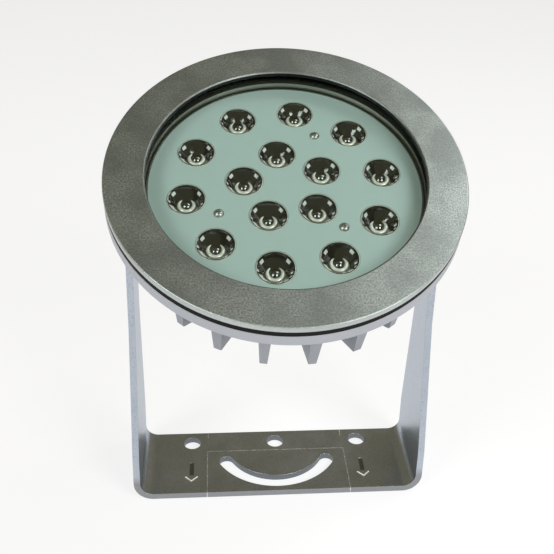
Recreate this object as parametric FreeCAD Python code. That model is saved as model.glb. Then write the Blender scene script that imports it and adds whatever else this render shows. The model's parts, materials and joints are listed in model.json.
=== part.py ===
# Underwater pond light on a folded bracket.
# Lengths are in millimetres. +Z is up, the lamp faces -Y, and the bracket stands on Z = 0.
import math
import os

import FreeCAD
import Part

os.makedirs("parts", exist_ok=True)
Vector = FreeCAD.Vector

# ---- bracket ----
arm_side_clearance = 3.0
bracket_depth = 56.0
plate_thickness = 4.0
bend_inner_radius = 8.0
arm_end_radius = 15.0
arm_taper_start = 30.0
arm_taper_end = 115.0
pivot_height = 186.0
fixing_hole_radius = 5.5
fixing_hole_spacing = 55.0
fixing_row_offset = 18.0
slot_middle_radius = 37.5
slot_width = 9.5
slot_half_angle = 60.0
mark_depth = 0.4
arrow_shaft_width = 2.6
arrow_shaft_length = 11.5
arrow_head_reach = 4.2
arrow_line_width = 1.0

# ---- tilt joint ----
rest_elevation = 64.0
bolt_radius = 4.0
bolt_length = 25.0
bolt_head_flats = 13.0
bolt_head_height = 5.3
bolt_running_clearance = 0.05
spring_washer_thickness = 2.0
spring_washer_radius = 7.2
flat_washer_thickness = 1.6
flat_washer_radius = 8.5
washer_bore_clearance = 0.2
bush_wall = 2.0
bush_flange_radius = 11.0
bush_flange_thickness = 1.9
running_gap = 0.1
boss_radius = 12.0

# ---- lamp, as radii and as depths behind the bezel's front face ----
pivot_below_floor = 5.9
rim_width = 15.0
rim_round = 1.0
rim_edge_depth = 4.0
rebate_width = 3.0
rebate_gap = 0.1
aperture_radius = 77.2
aperture_chamfer = 0.8
bezel_depth = 6.0
lip_depth = 3.0
glass_overlap = 6.8
glass_side_clearance = 1.0
glass_thickness = 5.0
glass_seal_thickness = 0.8
glass_seal_width = 6.0
rear_seal_width = 2.5
gasket_thickness = 1.8
gasket_setback = 0.2
flange_thickness = 8.4
edge_chamfer = 0.5

# ---- lens panel and optics ----
chamber_step = 0.8
panel_depth = 13.5
panel_thickness = 1.5
panel_side_clearance = 0.6
outer_lens_circle = 56.0
inner_lens_circle = 23.6
outer_lens_count = 10
inner_lens_count = 5
outer_lens_first = 8.5
inner_lens_first = -9.5
lens_radius = 10.6
lens_hole_clearance = 0.2
lens_rim_width = 0.9
lens_set_back = 0.2
lens_hollow_depth = 5.6
lens_dome_radius = 4.2
lens_dome_rise = 3.4
lens_tail_radius = 3.6
lens_tail_bore = 2.7
lens_fit_gap = 0.15
holder_wall = 0.75
holder_base_thickness = 2.0
lens_height = 11.0
board_thickness = 1.6
board_side_gap = 4.0
pad_thickness = 0.5
pad_setback = 1.0
led_side = 3.4
led_height = 0.9
led_dome_radius = 1.3

# ---- small fixings inside ----
thread_gap = 0.05
small_screw_radius = 1.5
small_head_radius = 2.8
small_head_height = 1.8
small_clearance_radius = 1.7
panel_screw_circle = 42.2
panel_screw_steps = (0.5, 3.5, 6.5)
panel_screw_length = 8.0
standoff_flats = 5.5
standoff_stud_length = 6.0
board_screw_circle = 66.0
board_screw_count = 5
board_screw_length = 7.0
tap_extra = 0.6

# ---- housing casting ----
cup_wall = 5.0
floor_thickness = 5.0
driver_chamber_radius = 44.0
driver_wall = 12.0
driver_chamber_depth = 24.9
fin_count = 24
fin_first = 9.0
fin_setback = 1.5
fin_side_setback = 13.0
fin_outer_slope = 1.5
fin_length = 27.0
fin_back_run = 20.0
fin_corner_radius = 2.5
fin_root_thickness = 6.5
fin_tip_thickness = 3.9
fin_inner_setback = 3.0
arm_side_gap = 2.5

# ---- screws that hold the bezel and the rear cover ----
case_screw_radius = 2.0
case_head_radius = 3.5
case_head_height = 4.0
case_head_clearance = 0.5
case_hole_clearance = 0.25
counterbore_depth = 3.0
bezel_screw_count = 8
bezel_screw_first = 16.5
bezel_thread_depth = 4.3
bezel_bottom_gap = 0.2

cover_thickness = 5.0
cover_boss_radius = 16.0
cover_boss_height = 3.0
cover_screw_count = 6
cover_screw_inset = 4.4
cover_screw_length = 10.0
cover_seal_inset = 2.6
cover_seal_cord = 0.8
cover_groove_width = 2.2

# ---- driver ----
driver_board_gap = 4.0
driver_boss_height = 4.0
driver_boss_radius = 3.5
driver_screw_inset = 6.0
driver_screw_count = 3
driver_screw_length = 7.0
capacitor_radius = 5.0
capacitor_height = 12.0
inductor_outer_radius = 9.0
inductor_inner_radius = 4.5
inductor_height = 8.0
lead_radius = 0.8
lead_spacing = 5.0
grommet_radius = 5.0
grommet_lip_radius = 6.5
grommet_lip_height = 1.0
terminal_length = 16.0
terminal_width = 9.0
terminal_height = 9.0
terminal_screw_radius = 1.8

# ---- cable gland ----
gland_thread_radius = 8.0
gland_outer_thread_radius = 9.0
gland_flats = 22.0
gland_gasket_thickness = 1.5
gland_hex_height = 5.0
gland_inner_length = 12.0
gland_bore_radius = 5.2
gland_outer_length = 7.5
gland_seal_outer_radius = 7.0
gland_seal_bore_radius = 4.0
gland_seal_length = 8.0
gland_seal_seat = 6.0
gland_nut_gap = 1.0
gland_cap_thickness = 4.0

# ---- sizes that follow from the ones above ----
chamber_radius = aperture_radius + chamber_step
glass_radius = aperture_radius + glass_overlap
pocket_radius = glass_radius + glass_side_clearance
rim_radius = pocket_radius + rim_width
rebate_radius = rim_radius - rebate_width
bezel_screw_circle = (pocket_radius + rim_radius) / 2
cup_radius = chamber_radius + cup_wall
arm_inner = cup_radius + arm_side_clearance
arm_outer = arm_inner + plate_thickness
bracket_width = 2 * arm_outer
bush_sleeve_radius = bolt_radius + bush_wall
boss_face = arm_inner - bush_flange_thickness - running_gap
lamp_side_limit = arm_inner - arm_side_gap

glass_front = lip_depth + glass_seal_thickness
glass_back = glass_front + glass_thickness
seat_depth = glass_back + glass_seal_thickness
flange_front = bezel_depth + gasket_thickness
flange_back = flange_front + flange_thickness
panel_back = panel_depth + panel_thickness
board_depth = panel_back + lens_height
board_back = board_depth + board_thickness
board_radius = chamber_radius - board_side_gap
pad_radius = board_radius - pad_setback
chamber_floor = board_back + pad_thickness
face_height = chamber_floor + pivot_below_floor
driver_ceiling = chamber_floor + floor_thickness
housing_depth = driver_ceiling + driver_chamber_depth
driver_wall_radius = driver_chamber_radius + driver_wall
driver_board_depth = driver_ceiling + driver_boss_height
driver_board_back = driver_board_depth + board_thickness
driver_board_radius = driver_chamber_radius - driver_board_gap
driver_screw_circle = driver_board_radius - driver_screw_inset
cover_back = housing_depth + cover_thickness
cover_screw_circle = driver_wall_radius - cover_screw_inset
cover_seal_circle = driver_chamber_radius + cover_seal_inset
gland_seat = cover_back + cover_boss_height
fin_reach = rim_radius - fin_setback
fin_side_reach = rim_radius - fin_side_setback
fin_back_depth = flange_back + fin_length
fin_inner_depth = housing_depth - fin_inner_setback
small_tap_radius = small_screw_radius + thread_gap
case_tap_radius = case_screw_radius + thread_gap
case_clearance_radius = case_screw_radius + case_hole_clearance
case_counterbore_radius = case_head_radius + case_head_clearance
lens_step = 360.0 / outer_lens_count
lens_waist_radius = 0.68 * lens_radius


def level(depth):
    """Height above the pivot of a plane this far behind the bezel's face, with the lamp facing up."""
    return face_height - depth


def disc(radius, front, back, x=0.0, y=0.0):
    """Solid cylinder along the lamp's axis between two depths."""
    return Part.makeCylinder(radius, back - front, Vector(x, y, level(back)))


def ring(outer, inner, front, back, x=0.0, y=0.0):
    return disc(outer, front, back, x, y).cut(disc(inner, front - 1, back + 1, x, y))


def turned(points, x=0.0, y=0.0):
    """Solid of revolution about the lamp's axis from (radius, depth) corners."""
    corners = [Vector(radius, 0, level(depth)) for radius, depth in points]
    outline = Part.makePolygon(corners + corners[:1])
    body = Part.Face(outline).revolve(Vector(0, 0, 0), Vector(0, 0, 1), 360)
    body.translate(Vector(x, y, 0))
    return body


def arc_points(centre_radius, centre_depth, size, start, end, steps):
    """Corners along an arc in the (radius, depth) plane; 0 degrees points outward and 90 rearward."""
    angles = [math.radians(start + (end - start) * i / steps) for i in range(steps + 1)]
    return [(centre_radius + size * math.cos(a), centre_depth + size * math.sin(a)) for a in angles]


def around(radius, angle):
    """Centre on a circle, with the angle measured clockwise from the top as seen from the front."""
    a = math.radians(angle)
    return radius * math.sin(a), radius * math.cos(a)


def circle_of(radius, count, first):
    return [around(radius, first + 360.0 * i / count) for i in range(count)]


def hexagon(flats, front, back, x=0.0, y=0.0):
    corner = flats / math.sqrt(3)
    points = [
        Vector(
            x + corner * math.cos(math.radians(60 * i)),
            y + corner * math.sin(math.radians(60 * i)),
            level(back),
        )
        for i in range(6)
    ]
    return Part.Face(Part.makePolygon(points + points[:1])).extrude(Vector(0, 0, back - front))


def block(length, width, front, back, x=0.0, y=0.0):
    corner = Vector(x - length / 2, y - width / 2, level(back))
    return Part.makeBox(length, width, back - front, corner)


def fused(shapes):
    return shapes[0].multiFuse(shapes[1:]).removeSplitter()


def bored(shape, places, radius, front, back):
    return shape.cut(Part.makeCompound([disc(radius, front, back, x, y) for x, y in places]))


def save(name, shapes):
    """Write one node, as one solid or as a group of separate ones."""
    group = shapes if isinstance(shapes, list) else [shapes]
    shape = group[0] if len(group) == 1 else Part.makeCompound(group)
    shape.exportStep("parts/" + name + ".step")


def save_lamp(name, shapes):
    """Write a node of the lamp, tilted to its rest position on the pivot."""
    group = shapes if isinstance(shapes, list) else [shapes]
    placed = []
    for shape in group:
        copy = shape.copy()
        copy.rotate(Vector(0, 0, 0), Vector(1, 0, 0), 90.0 - rest_elevation)
        copy.translate(Vector(0, 0, pivot_height))
        placed.append(copy)
    save(name, placed)


def cross_cylinder(radius, start, end):
    """Cylinder along X through the pivot, in the lamp's own frame."""
    return Part.makeCylinder(radius, end - start, Vector(start, 0, 0), Vector(1, 0, 0))


def both_sides(shape):
    return [shape.mirror(Vector(0, 0, 0), Vector(1, 0, 0)), shape]


lens_places = circle_of(outer_lens_circle, outer_lens_count, outer_lens_first)
lens_places += circle_of(inner_lens_circle, inner_lens_count, inner_lens_first)
panel_screw_places = [
    around(panel_screw_circle, outer_lens_first + lens_step * step) for step in panel_screw_steps
]
board_screw_places = circle_of(
    board_screw_circle, board_screw_count, outer_lens_first + lens_step / 2
)
lead_places = [(-lead_spacing / 2, 0.0), (lead_spacing / 2, 0.0)]
bezel_screw_places = circle_of(bezel_screw_circle, bezel_screw_count, bezel_screw_first)
cover_screw_places = circle_of(cover_screw_circle, cover_screw_count, 0.0)
driver_screw_places = circle_of(driver_screw_circle, driver_screw_count, 0.0)


# ---- bracket ----
def rounded_u(width, height, radius):
    """Outline of the bracket's outer or inner side, seen from the front, closed across the top."""
    half = width / 2
    base = plate_thickness if width < bracket_width else 0.0
    diagonal = radius * (1 - math.sqrt(0.5))
    left_bend = Part.Arc(
        Vector(-half, 0, base + radius),
        Vector(-half + diagonal, 0, base + diagonal),
        Vector(-half + radius, 0, base),
    ).toShape()
    right_bend = Part.Arc(
        Vector(half - radius, 0, base),
        Vector(half - diagonal, 0, base + diagonal),
        Vector(half, 0, base + radius),
    ).toShape()
    edges = [
        Part.makeLine(Vector(-half, 0, height), Vector(-half, 0, base + radius)),
        left_bend,
        Part.makeLine(Vector(-half + radius, 0, base), Vector(half - radius, 0, base)),
        right_bend,
        Part.makeLine(Vector(half, 0, base + radius), Vector(half, 0, height)),
        Part.makeLine(Vector(half, 0, height), Vector(-half, 0, height)),
    ]
    return Part.Face(Part.Wire(edges))


def slot_tool(bottom, height):
    """Cutter for the arc slot, centred on the middle fixing hole."""
    centre = Vector(0, fixing_row_offset, bottom)
    sweep = 2 * slot_half_angle
    outer = Part.makeCylinder(
        slot_middle_radius + slot_width / 2, height, centre, Vector(0, 0, 1), sweep
    )
    inner = Part.makeCylinder(slot_middle_radius - slot_width / 2, height, centre)
    band = outer.cut(inner)
    band.rotate(centre, Vector(0, 0, 1), -90.0 - slot_half_angle)
    ends = []
    for side in (-1, 1):
        a = math.radians(side * slot_half_angle)
        middle = centre + Vector(
            slot_middle_radius * math.sin(a), -slot_middle_radius * math.cos(a), 0
        )
        ends.append(Part.makeCylinder(slot_width / 2, height, middle))
    return fused([band] + ends)


def arrow_tools(x):
    """Shallow cutters for one arrow that points to the front edge."""
    bottom = plate_thickness - mark_depth
    shaft_top = -1.0
    shaft = Part.makeBox(
        arrow_shaft_width,
        arrow_shaft_length,
        plate_thickness,
        Vector(x - arrow_shaft_width / 2, shaft_top - arrow_shaft_length, bottom),
    )
    tip = shaft_top - arrow_shaft_length - arrow_head_reach - 1.5
    tools = [shaft]
    for side in (-1, 1):
        end_x = x + side * arrow_head_reach
        end_y = tip + arrow_head_reach
        slope = arrow_line_width / math.sqrt(2)
        corners = [
            Vector(x, tip, bottom),
            Vector(end_x, end_y, bottom),
            Vector(end_x - side * slope, end_y + slope, bottom),
            Vector(x, tip + 2 * slope, bottom),
        ]
        face = Part.Face(Part.makePolygon(corners + corners[:1]))
        tools.append(face.extrude(Vector(0, 0, plate_thickness)))
    return tools


arm_top = pivot_height + arm_end_radius
outer_side = rounded_u(bracket_width, arm_top, bend_inner_radius + plate_thickness)
inner_side = rounded_u(bracket_width - 2 * plate_thickness, arm_top, bend_inner_radius)
folded = outer_side.cut(inner_side).extrude(Vector(0, bracket_depth, 0))
folded.translate(Vector(0, -bracket_depth / 2, 0))

half_depth = bracket_depth / 2
side_edges = []
side_corners = [
    (arm_end_radius, pivot_height),
    (arm_end_radius, arm_taper_end),
    (half_depth, arm_taper_start),
    (half_depth, 0.0),
    (-half_depth, 0.0),
    (-half_depth, arm_taper_start),
    (-arm_end_radius, arm_taper_end),
    (-arm_end_radius, pivot_height),
]
for (y0, z0), (y1, z1) in zip(side_corners, side_corners[1:]):
    side_edges.append(
        Part.makeLine(Vector(-bracket_width, y0, z0), Vector(-bracket_width, y1, z1))
    )
side_edges.append(
    Part.Arc(
        Vector(-bracket_width, -arm_end_radius, pivot_height),
        Vector(-bracket_width, 0, arm_top),
        Vector(-bracket_width, arm_end_radius, pivot_height),
    ).toShape()
)
side_shape = Part.Face(Part.Wire(side_edges)).extrude(Vector(2 * bracket_width, 0, 0))

bracket = folded.common(side_shape)
cutters = [
    Part.makeCylinder(
        fixing_hole_radius, 3 * plate_thickness, Vector(x, fixing_row_offset, -plate_thickness)
    )
    for x in (-fixing_hole_spacing, 0.0, fixing_hole_spacing)
]
cutters.append(slot_tool(-plate_thickness, 3 * plate_thickness))
cutters.append(
    Part.makeCylinder(
        bush_sleeve_radius,
        2 * bracket_width,
        Vector(-bracket_width, 0, pivot_height),
        Vector(1, 0, 0),
    )
)
for arrow_x in (-fixing_hole_spacing, fixing_hole_spacing):
    cutters += arrow_tools(arrow_x)
for cutter in cutters:
    bracket = bracket.cut(cutter)
save("mounting_bracket", bracket.removeSplitter())

# ---- tilt joint: the bushes stay in the arms, and the rest turns with the lamp ----
bush = fused(
    [
        cross_cylinder(bush_flange_radius, arm_inner - bush_flange_thickness, arm_inner),
        cross_cylinder(bush_sleeve_radius, arm_inner - bush_flange_thickness, arm_outer),
    ]
).cut(cross_cylinder(bolt_radius + bolt_running_clearance, 0.0, bracket_width))
left_bush, right_bush = both_sides(bush)
save_lamp("pivot_bush_left", left_bush)
save_lamp("pivot_bush_right", right_bush)

flat_start = arm_outer + running_gap
spring_start = flat_start + flat_washer_thickness
head_start = spring_start + spring_washer_thickness
bolt_tip = head_start - bolt_length
washer_bore = bolt_radius + washer_bore_clearance
flat_washer = cross_cylinder(flat_washer_radius, flat_start, spring_start).cut(
    cross_cylinder(washer_bore, flat_start - 1, spring_start + 1)
)
save_lamp("pivot_flat_washers", both_sides(flat_washer))

spring_washer = cross_cylinder(spring_washer_radius, spring_start, head_start).cut(
    cross_cylinder(washer_bore, spring_start - 1, head_start + 1)
)
split = Part.makeBox(
    2 * spring_washer_thickness,
    0.8,
    spring_washer_radius + 1,
    Vector(spring_start - 1, -0.4, 0),
)
save_lamp("pivot_spring_washers", both_sides(spring_washer.cut(split)))

bolt_corner = bolt_head_flats / math.sqrt(3)
head_corners = [
    Vector(
        head_start,
        bolt_corner * math.cos(math.radians(60 * i)),
        bolt_corner * math.sin(math.radians(60 * i)),
    )
    for i in range(6)
]
bolt_head = Part.Face(Part.makePolygon(head_corners + head_corners[:1])).extrude(
    Vector(bolt_head_height, 0, 0)
)
bolt_crown = Part.makeCone(
    bolt_head_flats / 2 + bolt_head_height,
    bolt_head_flats / 2 - 0.1,
    bolt_head_height,
    Vector(head_start, 0, 0),
    Vector(1, 0, 0),
)
bolt = fused([bolt_head.common(bolt_crown), cross_cylinder(bolt_radius, bolt_tip, head_start)])
save_lamp("pivot_bolts", both_sides(bolt))

# ---- bezel, glass and their seals ----
bezel_outline = [
    (aperture_radius, lip_depth),
    (aperture_radius, aperture_chamfer),
    (aperture_radius + aperture_chamfer, 0.0),
    (rim_radius, 0.0),
    (rim_radius, rim_edge_depth - edge_chamfer),
    (rim_radius - edge_chamfer, rim_edge_depth),
    (rebate_radius, rim_edge_depth),
    (rebate_radius, bezel_depth),
    (pocket_radius, bezel_depth),
    (pocket_radius, lip_depth),
]
bezel = turned(bezel_outline)
rim_edges = [
    edge
    for edge in bezel.Edges
    if abs(edge.BoundBox.ZMax - level(0.0)) < 0.01
    and abs(edge.BoundBox.ZMin - level(0.0)) < 0.01
    and edge.BoundBox.XMax > rim_radius - 0.01
]
bezel = bezel.makeFillet(rim_round, rim_edges)
bezel = bored(
    bezel, bezel_screw_places, case_tap_radius, bezel_depth - bezel_thread_depth, bezel_depth + 1
)
save_lamp("bezel_ring", bezel)

seal_inner = glass_radius - glass_seal_width
save_lamp("front_glass_seal", ring(glass_radius, seal_inner, lip_depth, glass_front))
glass_outline = [
    (0.0, glass_front),
    (glass_radius - edge_chamfer, glass_front),
    (glass_radius, glass_front + edge_chamfer),
    (glass_radius, glass_back - edge_chamfer),
    (glass_radius - edge_chamfer, glass_back),
    (0.0, glass_back),
]
save_lamp("front_glass", turned(glass_outline))
rear_seal_inner = glass_radius - rear_seal_width
save_lamp("rear_glass_seal", ring(glass_radius, rear_seal_inner, glass_back, seat_depth))

gasket_lip = rebate_radius + rebate_gap
gasket_outline = [
    (pocket_radius + gasket_setback, bezel_depth),
    (gasket_lip, bezel_depth),
    (gasket_lip, rim_edge_depth),
    (rim_radius - gasket_setback, rim_edge_depth),
    (rim_radius - gasket_setback, flange_front),
    (pocket_radius + gasket_setback, flange_front),
]
gasket = turned(gasket_outline)
gasket = bored(
    gasket, bezel_screw_places, case_clearance_radius, bezel_depth - 1, flange_front + 1
)
save_lamp("flange_gasket", gasket)

bezel_screw_seat = flange_back - counterbore_depth
bezel_screw_tip = bezel_depth - bezel_thread_depth + bezel_bottom_gap
bezel_screws = []
for x, y in bezel_screw_places:
    shank = disc(case_screw_radius, bezel_screw_tip, bezel_screw_seat, x, y)
    head = disc(case_head_radius, bezel_screw_seat, bezel_screw_seat + case_head_height, x, y)
    socket = hexagon(
        case_head_radius * 0.86,
        bezel_screw_seat + case_head_height / 2,
        bezel_screw_seat + case_head_height + 1,
        x,
        y,
    )
    bezel_screws.append(fused([shank, head]).cut(socket))
save_lamp("bezel_screws", bezel_screws)

# ---- housing casting ----
core_outline = [
    (0.0, flange_front),
    (rim_radius - edge_chamfer, flange_front),
    (rim_radius, flange_front + edge_chamfer),
    (rim_radius, flange_back - edge_chamfer),
    (rim_radius - edge_chamfer, flange_back),
    (cup_radius, flange_back),
    (cup_radius - 0.5, driver_ceiling - 2.5),
    (cup_radius - 3.0, driver_ceiling),
    (driver_wall_radius, driver_ceiling),
    (driver_wall_radius, housing_depth),
    (0.0, housing_depth),
]
core = turned(core_outline)

fin_inner = driver_wall_radius - 2.0
fin_start = flange_back - 1.0
root_half = fin_root_thickness / 2
tip_half = fin_tip_thickness / 2
wedge_corners = [
    Vector(-root_half, 0, level(fin_start)),
    Vector(root_half, 0, level(fin_start)),
    Vector(tip_half, 0, level(fin_back_depth)),
    Vector(tip_half * 0.8, 0, level(fin_inner_depth)),
    Vector(-tip_half * 0.8, 0, level(fin_inner_depth)),
    Vector(-tip_half, 0, level(fin_back_depth)),
]
fin_wedge = Part.Face(Part.makePolygon(wedge_corners + wedge_corners[:1])).extrude(
    Vector(0, rim_radius + 5, 0)
)


def fin_blade(reach):
    """One cooling fin standing towards +Y, its outer edge this far from the axis at the flange."""
    tip = reach - fin_outer_slope
    side = [(fin_inner, fin_start), (reach, fin_start), (reach, flange_back)]
    side += arc_points(
        tip - fin_corner_radius, fin_back_depth - fin_corner_radius, fin_corner_radius, 5.0, 60.0, 6
    )
    side += [(tip - fin_back_run, fin_inner_depth), (fin_inner, fin_inner_depth)]
    plate = Part.Face(Part.makePolygon([Vector(0, r, level(d)) for r, d in side + side[:1]]))
    blank = plate.extrude(Vector(2 * fin_root_thickness, 0, 0))
    blank.translate(Vector(-fin_root_thickness, 0, 0))
    return blank.common(fin_wedge)


side_window = Part.makeBox(
    2 * lamp_side_limit,
    3 * rim_radius,
    housing_depth,
    Vector(-lamp_side_limit, -1.5 * rim_radius, level(flange_back + housing_depth)),
)
fins = []
for i in range(fin_count):
    turn = fin_first + 360.0 * i / fin_count
    along = math.cos(math.radians(turn)) / fin_reach
    across = math.sin(math.radians(turn)) / fin_side_reach
    one = fin_blade(1.0 / math.hypot(along, across))
    one.rotate(Vector(0, 0, 0), Vector(0, 0, 1), -turn)
    fins.append(one)
behind_flange = Part.makeCompound(fins).common(side_window)
bosses = [
    cross_cylinder(boss_radius, driver_wall_radius - 6.0, boss_face),
    cross_cylinder(boss_radius, -boss_face, -(driver_wall_radius - 6.0)),
]
housing = core.multiFuse(behind_flange.Solids + bosses)

pivot_hole_end = bolt_tip - 2.0
hollows = [
    disc(pocket_radius, flange_front - 1, seat_depth),
    disc(chamber_radius, flange_front, chamber_floor),
    disc(driver_chamber_radius, driver_ceiling, housing_depth + 1),
    ring(
        cover_seal_circle + cover_groove_width / 2,
        cover_seal_circle - cover_groove_width / 2,
        housing_depth - 2 * cover_seal_cord,
        housing_depth + 1,
    ),
    disc(grommet_radius, chamber_floor - 1, driver_ceiling + 1),
    cross_cylinder(bolt_radius + thread_gap, pivot_hole_end, boss_face + 1),
    cross_cylinder(bolt_radius + thread_gap, -boss_face - 1, -pivot_hole_end),
]
for hollow in hollows:
    housing = housing.cut(hollow)
driver_bosses = [
    disc(driver_boss_radius, driver_ceiling, driver_board_depth, x, y)
    for x, y in driver_screw_places
]
housing = housing.multiFuse(driver_bosses)
housing = bored(
    housing, bezel_screw_places, case_clearance_radius, flange_front - 1, flange_back + 1
)
housing = bored(
    housing, bezel_screw_places, case_counterbore_radius, bezel_screw_seat, housing_depth
)
stud_end = board_depth + standoff_stud_length
board_screw_end = board_depth + board_screw_length
board_tap_end = max(stud_end, board_screw_end) - tap_extra - thread_gap
housing = bored(
    housing,
    panel_screw_places,
    small_tap_radius,
    chamber_floor - 1,
    board_depth + standoff_stud_length + thread_gap,
)
housing = bored(
    housing, board_screw_places, small_tap_radius, chamber_floor - 1, board_tap_end
)
driver_tap_end = driver_board_back - driver_screw_length - thread_gap
housing = bored(
    housing, driver_screw_places, small_tap_radius, driver_tap_end, driver_board_depth + 1
)
cover_screw_seat = cover_back - counterbore_depth
cover_screw_tip = cover_screw_seat - cover_screw_length
housing = bored(
    housing,
    cover_screw_places,
    case_tap_radius,
    cover_screw_tip - tap_extra,
    housing_depth + 1,
)
housing = housing.removeSplitter()
save_lamp("finned_housing", housing)

# ---- light engine ----
panel_radius = chamber_radius - panel_side_clearance
lens_hole_radius = lens_radius + lens_hole_clearance
panel = disc(panel_radius, panel_depth, panel_back)
panel = bored(panel, lens_places, lens_hole_radius, panel_depth - 1, panel_back + 1)
panel = bored(
    panel, panel_screw_places, small_clearance_radius, panel_depth - 1, panel_back + 1
)
save_lamp("lens_panel", panel)

holder_seat = board_depth - holder_base_thickness
lens_front = panel_depth + lens_set_back
hollow_end = lens_front + lens_hollow_depth
dome_chord = lens_dome_radius
dome_ball = (dome_chord**2 + lens_dome_rise**2) / (2 * lens_dome_rise)
dome_spread = math.degrees(math.asin(dome_chord / dome_ball))
dome_points = arc_points(0.0, hollow_end - lens_dome_rise + dome_ball, dome_ball,
                         -90.0 + dome_spread, -90.0, 8)
lens_outline = [
    (0.0, holder_seat - 2.6),
    (lens_tail_bore - 0.5, holder_seat - 2.0),
    (lens_tail_bore, holder_seat),
    (lens_tail_radius, holder_seat),
    (lens_waist_radius, holder_seat - 5.0),
    (lens_radius - 0.6, panel_back + 0.9),
    (lens_radius, panel_back),
    (lens_radius, lens_front),
    (lens_radius - lens_rim_width, lens_front),
] + dome_points[:-1] + [(0.0, hollow_end - lens_dome_rise)]
lens = turned(lens_outline)
lenses = []
for x, y in lens_places:
    one = lens.copy()
    one.translate(Vector(x, y, 0))
    lenses.append(one)
save_lamp("lenses", lenses)

holder_outer = lens_radius + lens_fit_gap + holder_wall
holder_outline = [
    (lens_tail_bore, holder_seat),
    (lens_tail_radius + lens_fit_gap, holder_seat),
    (lens_waist_radius + lens_fit_gap, holder_seat - 5.0),
    (lens_radius - 0.6 + lens_fit_gap, panel_back + 0.9),
    (lens_radius + lens_fit_gap, panel_back),
    (holder_outer, panel_back),
    (holder_outer, board_depth),
    (lens_tail_bore, board_depth),
]
holder = turned(holder_outline)
holders = []
for x, y in lens_places:
    one = holder.copy()
    one.translate(Vector(x, y, 0))
    holders.append(one)
save_lamp("lens_holders", holders)

emitters = []
for x, y in lens_places:
    base = block(led_side, led_side, board_depth - led_height, board_depth, x, y)
    dome = Part.makeSphere(led_dome_radius, Vector(x, y, level(board_depth - led_height)))
    cap = dome.common(block(led_side, led_side, board_depth - led_height - 3,
                            board_depth - led_height / 2, x, y))
    emitters.append(fused([base, cap]))
save_lamp("led_emitters", emitters)

stud_clearance = small_clearance_radius
led_board = disc(board_radius, board_depth, board_back)
led_board = bored(
    led_board,
    board_screw_places + panel_screw_places,
    stud_clearance,
    board_depth - 1,
    board_back + 1,
)
led_board = bored(
    led_board, lead_places, lead_radius + thread_gap, board_depth - 1, board_back + 1
)
save_lamp("led_board", led_board)

pad = disc(pad_radius, board_back, chamber_floor)
pad = bored(
    pad,
    board_screw_places + panel_screw_places,
    small_clearance_radius + 0.5,
    board_back - 1,
    chamber_floor + 1,
)
pad = pad.cut(disc(grommet_radius + 1.0, board_back - 1, chamber_floor + 1))
save_lamp("thermal_pad", pad)


def cross_slots(x, y, front, depth, size):
    """Cross recess for a small pan head."""
    return fused(
        [
            block(size, size * 0.24, front - 1, front + depth, x, y),
            block(size * 0.24, size, front - 1, front + depth, x, y),
        ]
    )


def pan_screw(x, y, seat, length, towards):
    """Small pan-head screw seated at this depth; towards is 1 when its shank runs rearward."""
    head_far = seat - towards * small_head_height
    shank_end = seat + towards * length
    head = disc(small_head_radius, min(seat, head_far), max(seat, head_far), x, y)
    shank = disc(small_screw_radius, min(seat, shank_end), max(seat, shank_end), x, y)
    rounded = Part.makeSphere(
        small_head_radius * 1.25,
        Vector(x, y, level(head_far + towards * small_head_radius * 1.25)),
    )
    head = head.common(rounded)
    recess = small_head_height * 0.6
    if towards > 0:
        slots = cross_slots(x, y, head_far, recess, small_head_radius * 1.1)
    else:
        slots = cross_slots(x, y, head_far - recess + 1, recess + 1, small_head_radius * 1.1)
    return fused([head, shank]).cut(slots)


save_lamp(
    "panel_screws",
    [pan_screw(x, y, panel_depth, panel_screw_length, 1) for x, y in panel_screw_places],
)
save_lamp(
    "led_board_screws",
    [
        pan_screw(x, y, board_depth, board_screw_length - tap_extra - 0.4, 1)
        for x, y in board_screw_places
    ],
)
standoffs = []
for x, y in panel_screw_places:
    pillar = hexagon(standoff_flats, panel_back, board_depth, x, y)
    stud = disc(small_screw_radius, board_depth, board_depth + standoff_stud_length, x, y)
    socket = disc(
        small_tap_radius, panel_back - 1, panel_depth + panel_screw_length + tap_extra, x, y
    )
    standoffs.append(fused([pillar, stud]).cut(socket))
save_lamp("panel_standoffs", standoffs)

# ---- wiring and driver ----
grommet = fused(
    [
        disc(grommet_radius, chamber_floor, driver_ceiling),
        disc(grommet_lip_radius, driver_ceiling, driver_ceiling + grommet_lip_height),
    ]
)
grommet = bored(
    grommet, lead_places, lead_radius, chamber_floor - 1, driver_board_depth
)
save_lamp("lead_grommet", grommet)
for lead_name, (x, y) in zip(("positive_lead", "negative_lead"), lead_places):
    save_lamp(lead_name, disc(lead_radius, board_depth, driver_board_back, x, y))

driver_board = disc(driver_board_radius, driver_board_depth, driver_board_back)
driver_board = bored(
    driver_board,
    driver_screw_places,
    small_clearance_radius,
    driver_board_depth - 1,
    driver_board_back + 1,
)
driver_board = bored(
    driver_board,
    lead_places,
    lead_radius + thread_gap,
    driver_board_depth - 1,
    driver_board_back + 1,
)
save_lamp("driver_board", driver_board)
save_lamp(
    "driver_screws",
    [
        pan_screw(x, y, driver_board_back, driver_screw_length - tap_extra, -1)
        for x, y in driver_screw_places
    ],
)
capacitor_places = [(-16.0, -14.0), (16.0, -14.0)]
capacitors = []
for x, y in capacitor_places:
    capacitor_end = driver_board_back + capacitor_height
    can = disc(capacitor_radius, driver_board_back, capacitor_end, x, y)
    score = fused(
        [
            block(0.5, capacitor_radius * 1.5, capacitor_end - 0.3, capacitor_end + 1, x, y),
            block(capacitor_radius * 1.5, 0.5, capacitor_end - 0.3, capacitor_end + 1, x, y),
        ]
    )
    capacitors.append(can.cut(score))
save_lamp("driver_capacitors", capacitors)
save_lamp(
    "driver_inductor",
    ring(
        inductor_outer_radius,
        inductor_inner_radius,
        driver_board_back,
        driver_board_back + inductor_height,
        0.0,
        -27.0 + inductor_outer_radius / 3,
    ),
)
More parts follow.
